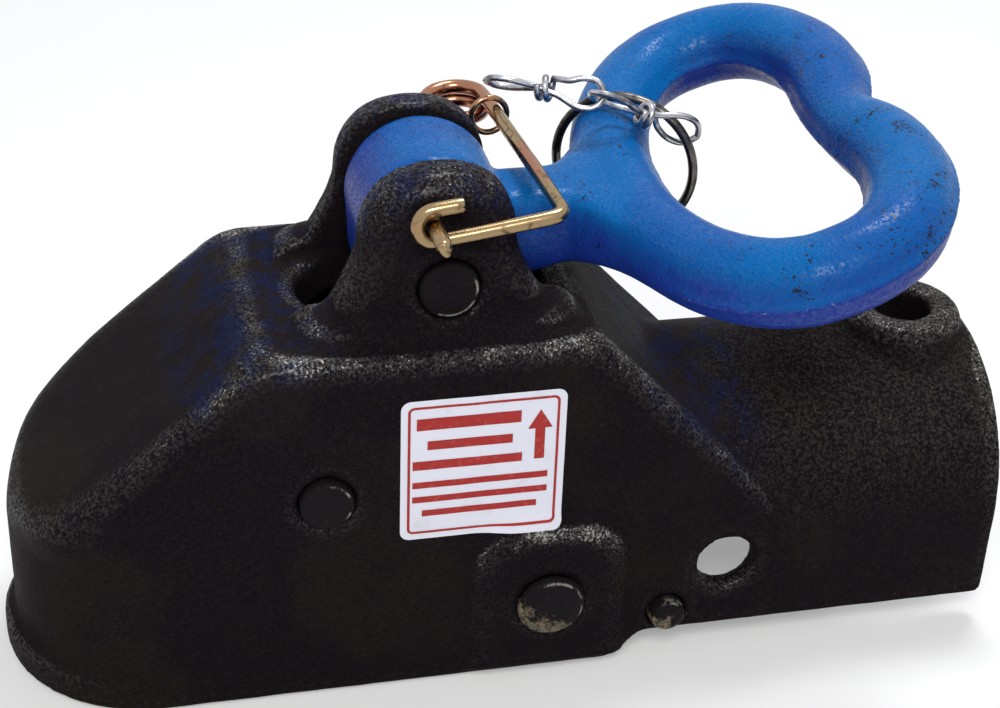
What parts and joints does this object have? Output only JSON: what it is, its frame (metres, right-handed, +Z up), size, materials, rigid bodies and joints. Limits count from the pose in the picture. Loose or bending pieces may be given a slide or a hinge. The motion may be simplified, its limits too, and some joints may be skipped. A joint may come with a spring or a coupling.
{
  "type": "trailer ball coupler",
  "caption": "Cast trailer coupler head with a pull handle, a spring-loaded ball clamp, a wire safety pin on a chain and a half-round seat for the drawbar.",
  "frame": {"origin": "on the ground plane under the middle of the head's length, where the rim of the ball socket stands", "axes": "+X runs back to the drawbar, +Y across the head to the side of the pin's coil, +Z up"},
  "size_m": [0.29, 0.1618, 0.1644],
  "materials": {
    "cast_iron": "rough sand cast, black coated",
    "blue_paint": "glossy paint over a casting, scuffed",
    "dark_steel": "black coated steel, worn bare in places",
    "spring_steel": "oiled spring wire",
    "yellow_zinc": "yellow zinc plated wire",
    "dark_wire": "dark bright-drawn wire",
    "chain_wire": "bright zinc plated wire"
  },
  "bodies": {
    "head": {"coupler_body": "cast_iron", "handle_pivot_pin": "dark_steel", "clamp_pin": "dark_steel", "guide_pin": "dark_steel", "drawbar_stop_pin": "dark_steel"},
    "handle": {"pull_handle": "blue_paint"},
    "link": {"link_plate_near": "dark_steel", "link_plate_far": "dark_steel", "link_pin_upper": "dark_steel", "link_pin_lower": "dark_steel"},
    "clamp": {"ball_clamp": "dark_steel"},
    "guide": {"spring_guide": "dark_steel", "clamp_spring": "spring_steel"},
    "pin_leg": {"safety_pin_leg": "yellow_zinc"},
    "pin_arm": {"safety_pin_spring": "yellow_zinc"},
    "coil_ring": {"coil_ring": "yellow_zinc"},
    "neck_ring": {"neck_ring": "dark_wire"},
    "chain_link_2": {"chain_link_2": "chain_wire"},
    "chain_link_1": {"chain_link_1": "chain_wire"}
  },
  "joints": [
    {"name": "handle_lift", "type": "hinge", "parent": "head", "child": "handle", "pos_m": [-0.021, 0, 0.1235], "axis": [0, -1, 0], "range_deg": [0, 50]},
    {"name": "clamp_swing", "type": "hinge", "parent": "head", "child": "clamp", "pos_m": [-0.0558, 0, 0.0667], "axis": [0, -1, 0], "range_deg": [0, 17.9], "deforming": ["clamp_spring"]},
    {"name": "link_swing", "type": "hinge", "parent": "handle", "child": "link", "pos_m": [-0.013, 0, 0.1015], "axis": [0, -1, 0], "range_deg": [-57.8, 0]},
    {"name": "guide_swing", "type": "hinge", "parent": "head", "child": "guide", "pos_m": [0.0074, 0, 0.0273], "axis": [0, -1, 0], "range_deg": [-2.3, 0]},
    {"name": "pin_pull", "type": "slide", "parent": "head", "child": "pin_leg", "axis": [0, 1, 0], "range_m": [0, 0.085], "deforming": ["safety_pin_spring"]},
    {"name": "pin_arm_swing", "type": "hinge", "parent": "pin_leg", "child": "pin_arm", "pos_m": [-0.0265, 0, 0.1462], "axis": [0, -1, 0], "range_deg": [0, 67.6]},
    {"name": "coil_ring_swing", "type": "hinge", "parent": "pin_arm", "child": "coil_ring", "pos_m": [0.0039, 0.03242, 0.14499], "axis": [0.0599, -0.9979, 0.025], "range_deg": [-10, 10]},
    {"name": "neck_ring_swing", "type": "hinge", "parent": "handle", "child": "neck_ring", "pos_m": [0.03897, 0.03328, 0.13165], "axis": [0.2756, 0.9566, 0.0949], "range_deg": [-2, 3]},
    {"name": "chain_link_2_swing", "type": "hinge", "parent": "neck_ring", "child": "chain_link_2", "pos_m": [0.0565, 0.02229, 0.14025], "axis": [-0.567, 0.3553, 0.7431], "range_deg": [-3, 3]},
    {"name": "chain_link_1_swing", "type": "hinge", "parent": "chain_link_2", "child": "chain_link_1", "pos_m": [0.031, 0.021, 0.153], "axis": [0, 1, 0], "range_deg": [0, 50]}
  ],
  "couplings": [
    {"joint": "clamp_swing", "follows": "handle_lift", "ratio": 0.3568},
    {"joint": "link_swing", "follows": "handle_lift", "ratio": -1.154},
    {"joint": "guide_swing", "follows": "handle_lift", "ratio": -0.045},
    {"joint": "pin_arm_swing", "follows": "handle_lift", "ratio": 1.35},
    {"joint": "chain_link_1_swing", "follows": "handle_lift", "ratio": 1}
  ]
}
